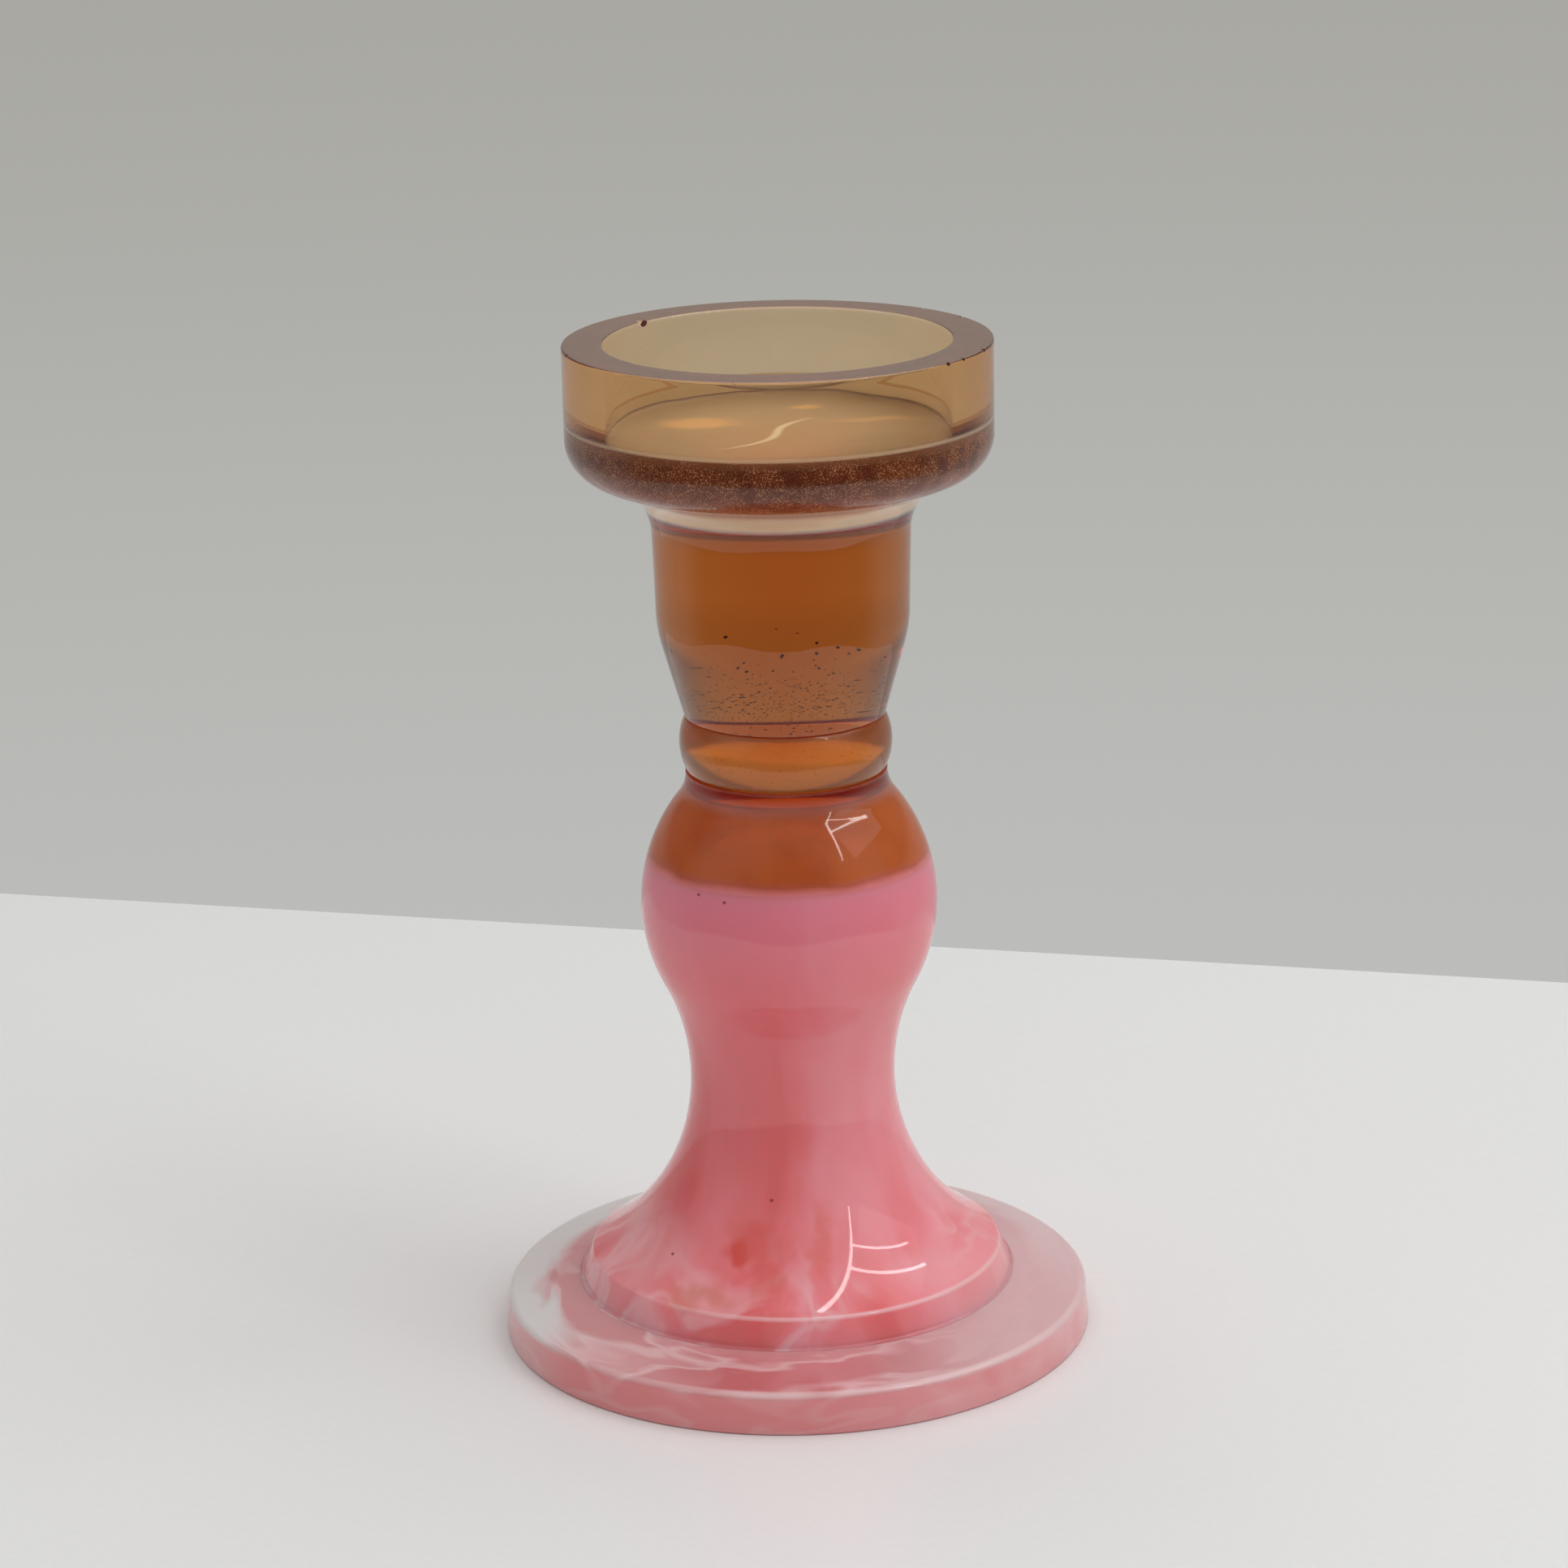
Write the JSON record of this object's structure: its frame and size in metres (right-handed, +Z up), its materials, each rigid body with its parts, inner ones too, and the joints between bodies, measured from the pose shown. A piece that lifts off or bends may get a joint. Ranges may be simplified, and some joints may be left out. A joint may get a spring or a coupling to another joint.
{
  "type": "tealight candlestick",
  "caption": "Turned-profile cast resin candlestick with a wide cup for a tealight, a beaded neck, a rounded bulb, a waisted stem and a stepped round foot.",
  "frame": {"origin": "centre of the foot's underside, on the table", "axes": "+Z up the candlestick's axis towards the candle; +X and +Y are equal, since every piece is turned about +Z"},
  "size_m": [0.0706, 0.0706, 0.12],
  "materials": {
    "amber_resin": "polished translucent amber epoxy with fine bubbles and mica",
    "pink_resin": "polished milky pink epoxy, marbled near the foot",
    "clear_resin": "polished clear epoxy with pink and white wisps"
  },
  "bodies": {
    "root": {"candle_cup": "amber_resin", "neck_barrel": "amber_resin", "collar_ring": "amber_resin", "bulb_cap": "amber_resin", "stem_body": "pink_resin", "foot_step": "pink_resin", "foot_core": "pink_resin", "foot_disc": "clear_resin"}
  },
  "joints": []
}
